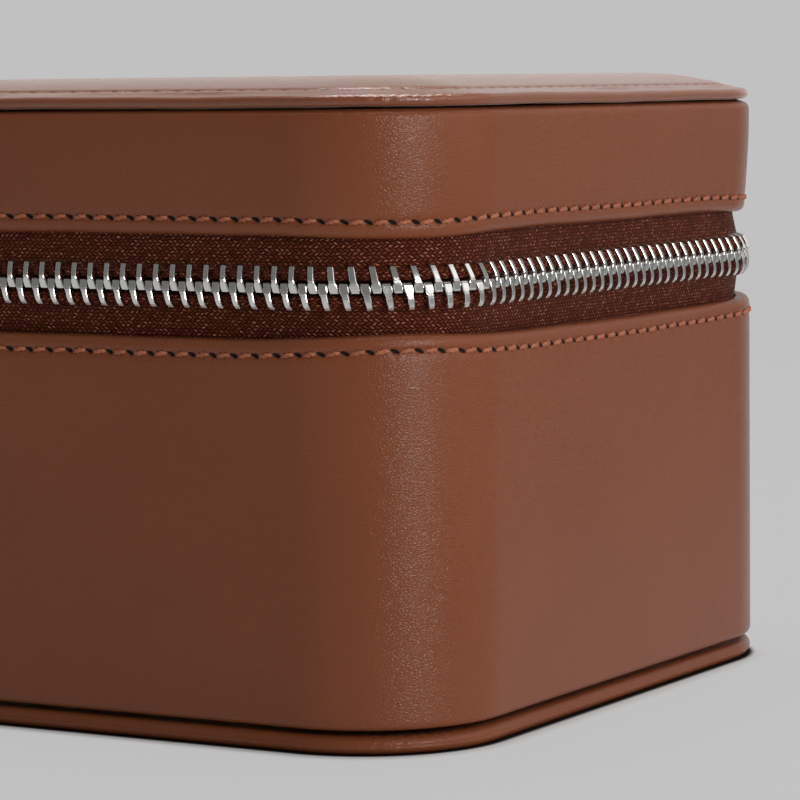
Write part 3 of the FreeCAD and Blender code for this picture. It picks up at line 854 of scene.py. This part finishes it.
def tooth_rows(name, first, last, side):
    """Teeth number first to last of one row, side -1 below the chain and +1 above it. The clip's section is
    carried along the chain in four steps: its front falls back from a crest towards the root and the tip, its
    back is flatter, a slot takes the tape, and the end steps are drawn in as a chamfer. The leg leans a
    little, and the head is wider."""
    to_root = np.clip((tooth_crest - tooth_rise) / (tooth_crest + tooth_root), 0, 1) ** root_bends[side]
    to_tip = np.clip((tooth_rise - tooth_crest) / (tooth_tip - tooth_crest), 0, 1) ** 2.0
    front = tooth_front + (root_insets[side] - tooth_front) * to_root + (head_inset - tooth_front) * to_tip
    front[:len(tip_round)] += tip_round
    section = np.concatenate([np.stack([front, tooth_rise], 1), tooth_slot, tooth_back])
    shape = tooth_middle + (section - tooth_middle) * chamfer
    head = share_above(shape[..., 1], *head_fade)
    y = tooth_steps * (leg_width + (head_width - leg_width) * head)
    number = np.arange(first, last)[:, None, None]
    shift = tooth_length / 2 + (tooth_pitch / 2 if side > 0 else 0.0)
    z = -side * shape[..., 1]
    s = first_tooth + shift + tooth_pitch * number + y - tooth_lean * z
    points = chain.layer(s, shape[..., 0], chain_z + z)
    if side > 0:
        points = points[:, :, ::-1]
    row = skin(name, points, ends="flat")
    row.data.shade_flat()
    return row


left_tooth_count = 23
chain_look = metal_finish("zip_metal_finish", roughness=0.12)
fitted(tooth_rows("lower_teeth", left_tooth_count, tooth_count, -1.0), chain_look, "base", "zip_metal",
       "lower_zip_teeth")
fitted(tooth_rows("lower_teeth_left", 0, left_tooth_count, -1.0), chain_look, "base", "zip_metal",
       "lower_zip_teeth_left")
dressed(chain_look, "lower_zip_stops", "upper_zip_stops")


# Hinge: a leather strip across the back, sewn behind both hems, with a suede strip inside it.
# It bows out a little between the hems, so that there is slack for the lid to swing back.

hinge_bow = 1.3 * mm
hinge_rows = 41
hinge_columns = 61
bow_power = 1.5


def hinge_strip(name, low, high):
    """Strip across the back: a thin upright section, bowed outwards between the two rims as a power of half
    a sine wave, carried straight from end to end."""
    z = np.linspace(low.z, high.z, hinge_rows)
    t = np.clip((z - base_rim_z) / (lid_rim_z - base_rim_z), 0, 1)
    bowed = hinge_bow * np.sin(math.pi * t) ** bow_power
    outer = np.stack([high.y + bowed, z], 1)
    inner = np.stack([low.y + bowed, z], 1)[::-1]
    section = np.concatenate([outer, inner])
    x = np.linspace(low.x, high.x, hinge_columns)[:, None]
    points = np.stack(np.broadcast_arrays(x, section[:, 0], section[:, 1]), -1)
    return skin(name, points, ends="flat")


for name, node, slot, strip_look in (
    ("hinge_skin", "hinge_leather", "leather", leather_finish("hinge_leather_finish")),
    ("hinge_inside", "hinge_lining", "suede_lining", suede_look),
):
    low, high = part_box(node)
    strip = hinge_strip(name, low, high)
    strip.data.materials.append(strip_look)
    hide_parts(node)
    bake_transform(strip)


# Lid wall leather: a wrap of the same hide round the lid, drawn in a little towards its rim.
# The rim is hemmed and sewn like the base's, and the upper edge rolls under the top panel.

lid_top_z = lid_high.z - 0.6 * mm
lid_top_ease = 0.9 * mm
lid_taper = 0.9 * mm
lid_stitch_z = lid_rim_z + 2.2 * mm
lid_corner_drop = 0.6 * mm
lid_lean_fade = (lid_rim_z - 4 * mm, lid_top_z - 2 * mm)
lid_tuck_z = lid_high.z + 0.15 * mm
lid_profile = eased(
    [(wall_leather, lid_rim_z, hem_ease), (0.0, lid_rim_z, rim_ease)]
    + face_rows(lid_stitch_z + seam_gap, lid_top_z - lid_top_ease - row_gap, lid_stitch_z, count=7)
    + [(0.0, lid_top_z, lid_top_ease), (wall_leather, lid_tuck_z, 0), (wall_leather, lid_stitch_z, 0)],
    steps=9)


def lid_lift(s, z):
    """How far the lid's rim is raised, less than nothing where it hangs at the corners. It wanders a little,
    and both fade out towards the top."""
    drop = lid_corner_drop * case.bell(s, corner_lift_reach) + soft_wander(s, rim_wander, seed=2.0)
    return -drop * (1 - share_above(z, lid_rim_z, lid_top_z))


def lid_lean(z):
    """How far the lid's wall is drawn in at a height, from nothing at the top to the taper at the rim."""
    return lid_taper * (1 - share_above(z, *lid_lean_fade))


lid_heights = lid_profile[:, 1:] + lid_lift(wall_step, lid_profile[:, 1:])
lid_insets = sewn_in(lid_profile, wall_step, lid_stitch_z)
lid_insets = lid_insets + lid_lean(lid_profile[:, 1:]) * (lid_profile[:, :1] < wall_leather)
fitted(
    skin("lid_leather", case.layer(wall_step, lid_insets, lid_heights), wrap_rows=True,
         u=np.append(wall_step, case.length), v=run_from_seam(lid_profile, lid_stitch_z)),
    leather_finish("lid_leather_finish", stitch_pitch), "lid", "leather", "lid_wall_leather")

lid_seam_inset = seam_depth + lid_lean(lid_stitch_z)
fitted(sewn_row("lid_stitches", stitch_count, lid_seam_inset, lid_stitch_z, outwards, lid_lift),
       thread_look, "lid", "thread")


# Lid lining: the same suede glued to the inside of the lid's walls and turned over the frame's lower edge.
# A padded panel of it is glued in under the lid's top and swells downwards.

lid_lining_low, lid_lining_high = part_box("lid_lining_walls")
lid_cap_z = lid_lining_low.z + lining_cap
lid_lining_row_z = lid_cap_z + 3 * mm
lid_lining = lining_walls("lid_lining", [
    (cap_inset, lid_lining_low.z, cap_ease), (cap_inset, lid_cap_z, 0), (lining_inset, lid_cap_z, 0),
    (lining_inset, lid_lining_high.z, 0), (cavity_inset, lid_lining_high.z, 0),
    (cavity_inset, lid_lining_row_z, 0), (cavity_inset, lid_lining_low.z, cavity_ease)])
fitted(lid_lining, suede_look, "lid", "suede_lining", "lid_lining_walls")

lid_pad_low, lid_pad_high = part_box("lid_lining_pad")
lid_pad_edge_z = lid_pad_high.z - 3.4 * mm
lid_pad = fitted(
    pad_surface("lid_pad", pad_inset, lid_pad_high.z, lid_pad_edge_z, lid_pad_low.z, dimple=0.12 * mm),
    suede_look, "lid", "suede_lining", "lid_lining_pad")


# Top panel: leather drawn tight over thin foam and a board, so that it swells gently from its edge.
# The edge is a rounded bead, puckered where it turns the corners, and a row of stitches
# runs a few millimetres in from it.

top_low, top_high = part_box("top_panel_leather")
top_bead_inset = 0.3 * mm
top_edge_z = top_low.z + 1.55 * mm
top_foot_z = top_low.z + 0.15 * mm
top_bead_ease = 0.6 * mm
top_foot_ease = 0.7 * mm
top_pad_inset = wall_high.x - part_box("top_panel_pad")[1].x
under_middle_z = top_low.z + 2.6 * mm
under_edge_z = top_low.z + 1.6 * mm
top_crown_reach = 16 * mm
top_seam_inset = 3.9 * mm
top_stitch_count = 166
top_seam_depth = 0.16 * mm
top_needle_depth = 0.1 * mm
top_thread_sink = 0.44 * mm
top_gloss = 0.12
top_step = case.even(top_stitch_count * stitch_columns)
top_pleat = 2.3 * mm
top_pleat_depth = 0.06 * mm
top_corner_bulge = 0.12 * mm
top_pucker = 0.05 * mm
top_wander = 0.10 * mm
top_seam_rows = np.linspace(-1.2, 1.2, 11) * mm
crown_rows = np.array([6, 7.5, 9, 11, 13.5, 16, 18]) * mm
crown_insets = np.concatenate([top_seam_inset + top_seam_rows, crown_rows])
bead_end = crown_insets[0] - 0.2 * mm


def crown_z(inset):
    """Height of the top's leather at an inset: a parabola from the bead to the flat middle."""
    t = np.clip((inset - top_bead_inset - top_bead_ease) / top_crown_reach, 0, 1)
    return top_edge_z + (top_high.z - top_edge_z) * (1 - (1 - t) ** 2)


under = eased([
    (crown_rows[-1], under_middle_z, 0), (top_pad_inset, under_edge_z, 0),
    (top_pad_inset, top_low.z, 0), (top_bead_inset, top_foot_z, top_foot_ease),
    (top_bead_inset, top_edge_z, top_bead_ease), (bead_end, crown_z(bead_end), 0)], steps=8)
over = np.concatenate([crown_insets, np.full(len(middle_shrink), crown_rows[-1])])
top_profile = np.concatenate([under, np.stack([over, crown_z(over)], 1)])
top_shrink = np.ones((len(top_profile), 1))
top_shrink[0] = seat_shrink[0]
top_shrink[-len(middle_shrink):] = middle_shrink
on_top = (np.arange(len(top_profile)) >= len(under))[:, None]
top_channel = np.exp(-((top_profile[:, :1] - top_seam_inset) / seam_half_width) ** 2) * on_top
top_pitch = case.length / top_stitch_count
top_dimple = np.cos(math.pi * top_step / top_pitch) ** dimple_power
top_heights = puckered(top_profile, top_step, bottom_pleat, top_pucker, 0.0, top_foot_z, top_edge_z)
top_heights = top_heights - top_channel * (top_seam_depth + top_needle_depth * top_dimple)
top_heights = top_heights + soft_wander(top_step, top_wander, seed=3.0) * (~on_top)
top_insets = pleated(top_profile, top_step, top_pleat, top_pleat_depth, top_corner_bulge,
                     top_foot_z, top_edge_z)
top_runs = run_lengths(top_profile)[:-1]
top_seam_run = top_runs[len(under) + len(top_seam_rows) // 2]
top_leather = fitted(
    skin("top_leather", case.layer(top_step, top_insets, top_heights, top_shrink), ends="pole",
         u=np.append(top_step, case.length), v=top_runs - top_seam_run),
    leather_finish("top_leather_finish", top_pitch, top_gloss), "lid", "leather", "top_panel_leather")

upwards = (0.0, 1.0)
top_row_z = crown_z(top_seam_inset) - top_seam_depth - top_thread_sink
fitted(sewn_row("top_stitches", top_stitch_count, top_seam_inset, top_row_z, upwards),
       thread_look, "lid", "thread")


# Top foam: a thin sheet of cream open-cell foam, glued to the top's board.
# The leather is drawn over it, and it gives the top its crown.

foam_cream = (0.70, 0.65, 0.54, 1.0)
foam_hollow_shade = (0.52, 0.47, 0.36, 1.0)
foam_cell = 0.8 * mm


def foam_finish():
    """Open-cell foam: cream, with a froth of small round cells whose hollows are painted darker as shade."""
    material, look = finish("foam_finish")
    cells = look.node("TexVoronoi", {}, {"Vector": look.place(), "Scale": 1 / foam_cell})
    # Painted shade: the hollow of each cell is drawn darker.
    colour = cells.fade(0.1, 0.6).between(foam_hollow_shade, foam_cream)
    return wear(material, colour, 0.9 + cells * 0.05, cells, 0.2 * mm)


dressed(foam_finish(), "top_panel_pad")


# Upper zip tape and teeth: the same woven tape and nickel-plated clips as below, turned over.
# The tape is sewn behind the lid's hem, and its teeth stand half a pitch on from the lower ones.

fitted(tape_surface("upper_tape", lid_rim_z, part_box("upper_zip_tape")[1].z, 1.0),
       tape_look, "lid", "zip_tape", "upper_zip_tape")
fitted(tooth_rows("upper_teeth", left_tooth_count, tooth_count, 1.0), chain_look, "lid", "zip_metal",
       "upper_zip_teeth")
fitted(tooth_rows("upper_teeth_left", 0, left_tooth_count, 1.0), chain_look, "lid", "zip_metal",
       "upper_zip_teeth_left")


# Zip slider and pull tab: die-cast, nickel-plated and polished bright.
# The slider rides on the chain of teeth, and the tab hangs on the slider's bridge.

dressed(metal_finish("zip_hardware_finish", roughness=0.16), "zip_slider", "pull_tab")


# Studio: a plain pale floor and an even backdrop, so that only the case's shadow shows, with a painted dark
# contact line at its foot.
# Three soft lamps light the case, and the camera stands at the photograph's viewing angle.

backdrop_grey = (0.533, 0.533, 0.533, 1.0)
floor_grey = (0.60, 0.60, 0.60, 1.0)
side_grey = (0.24, 0.24, 0.24, 1.0)
side_fade = (0.10, 0.22)
contact_shadow_span = (-0.2 * mm, 0.9 * mm)
contact_shade = (0.02, 0.015, 0.012, 1.0)
near_fade = (0.0, 3.5 * mm, 0.0, 0.92)
far_fade = (0.1, 1.4, 0.0, 0.08)
studio_front = (0.17, 0.17, 0.17, 1.0)
rear_fade = (-0.25, 0.35)
overhead_fade = (0.30, 0.62, 1.0, 0.12)
right_fade = (0.15, 0.5, 1.0, 0.06)
floor_half = 6.0
floor_mesh = bpy.data.meshes.new("floor")
floor_corners = ((-1, -1), (1, -1), (1, 1), (-1, 1))
floor_mesh.from_pydata([(x * floor_half, y * floor_half, 0.0) for x, y in floor_corners], [], [(0, 1, 2, 3)])
floor = placed("floor", floor_mesh)

# The camera sees the floor in the backdrop's grey, apart from a painted shadow, a dark line where the case
# stands on it, and the real shadow close by. Reflections show that grey too, darker to the right of the case.
floor_material, floor_look = finish("floor_finish")
floor_shader = floor_look.tree.nodes["Principled BSDF"]
floor_shader.inputs["Roughness"].default_value = 0.9
floor_shader.inputs["Specular IOR Level"].default_value = 0.0
seen = floor_look.node("LightPath", {}, {}, "Is Camera Ray")
for ray in ("Is Glossy Ray", "Is Transmission Ray"):
    seen = seen.math("MAXIMUM", seen, floor_look.node("LightPath", {}, {}, ray))
floor_place = floor_look.place()
mirrored = floor_look.node("LightPath", {}, {}, "Is Glossy Ray") * floor_place.axis("X").fade(*side_fade)
glow = floor_look.node("Emission", {}, {"Color": mirrored.between(backdrop_grey, side_grey), "Strength": 1.0})
foot_corner = (wall_high.x - wall_corner, wall_high.y - wall_corner, 0.0)
beside = floor_look.node("VectorMath", {"operation": "ABSOLUTE"}, {0: floor_place})
beside = floor_look.node("VectorMath", {"operation": "SUBTRACT"}, {0: beside, 1: foot_corner})
beside = floor_look.node("VectorMath", {"operation": "MAXIMUM"}, {0: beside, 1: (0.0, 0.0, 0.0)})
away = floor_look.node("VectorMath", {"operation": "LENGTH"}, {0: beside}, "Value") - wall_corner
# Painted shadow: the floor's colour goes dark within a millimetre of the case's foot.
floor_colour_with_shadow = away.fade(*contact_shadow_span).between(contact_shade, floor_grey)
floor_look.tree.links.new(floor_colour_with_shadow.socket, floor_shader.inputs["Base Color"])
flat_share = away.fade(*near_fade) + away.fade(*far_fade)
lit = Look(floor_look.tree, floor_shader.outputs[0])
mixed = floor_look.node("MixShader", {}, {0: seen * flat_share, 1: lit, 2: glow})
floor_look.tree.links.new(mixed.socket, floor_look.tree.nodes["Material Output"].inputs["Surface"])
floor_mesh.materials.append(floor_material)

# The camera sees the same grey all round. As light, the studio is dim in front, overhead and to the right.
world = bpy.data.worlds.new("studio")
bpy.context.scene.world = world
world.use_nodes = True
air = Look(world.node_tree)
seen = air.node("LightPath", {}, {}, "Is Camera Ray")
seen = seen.math("MAXIMUM", seen, air.node("LightPath", {}, {}, "Is Transmission Ray"))
outward = air.node("TexCoord", {}, {}, "Generated")
behind = outward.axis("Y").fade(*rear_fade) * outward.axis("Z").fade(*overhead_fade)
behind = behind * outward.axis("X").fade(*right_fade)
studio_light = behind.between(studio_front, backdrop_grey)
sky = seen.between(studio_light, backdrop_grey)
air.tree.links.new(sky.socket, air.tree.nodes["Background"].inputs["Color"])


def lamp(name, place, target, size, power):
    """Soft rectangular lamp at a place, facing a target, in metres and watts."""
    light = bpy.data.lights.new(name, "AREA")
    light.shape = "RECTANGLE"
    light.size, light.size_y = size
    light.energy = power
    turn = (Vector(place) - Vector(target)).to_track_quat("Z", "Y")
    placed(name, light).matrix_world = Matrix.Translation(place) @ turn.to_matrix().to_4x4()


lamp("key_right", place=(1.1, 0.25, 0.45), target=(0.0, 0.0, 0.04), size=(1.2, 0.9), power=3.2)
lamp("band_front", place=(0.955, -0.45, 0.27), target=(0.05, -0.03, 0.05), size=(0.30, 0.6), power=4.4)
lamp("top_soft", place=(0.0, 0.2, 1.1), target=(0.0, 0.0, 0.05), size=(0.8, 0.8), power=11.0)

camera_data = bpy.data.cameras.new("camera")
camera = placed("camera", camera_data)
bpy.context.scene.camera = camera
focal_pixels = 3637.06
image_pixels = 800
camera_data.sensor_width = 36.0
camera_data.lens = camera_data.sensor_width * focal_pixels / image_pixels
camera_place = (0.31835, -0.46150, 0.08836)
camera_yaw = math.radians(29.895)
camera_pitch = math.radians(5.035)
camera_roll = math.radians(-0.632)
heading = Matrix.Rotation(camera_yaw, 4, "Z")
tilt = Matrix.Rotation(math.pi / 2 - camera_pitch, 4, "X")
levelling = Matrix.Rotation(camera_roll, 4, "Z")
camera.matrix_world = Matrix.Translation(camera_place) @ heading @ tilt @ levelling
camera_data.clip_start = 0.01

bpy.context.scene.view_settings.view_transform = "Standard"
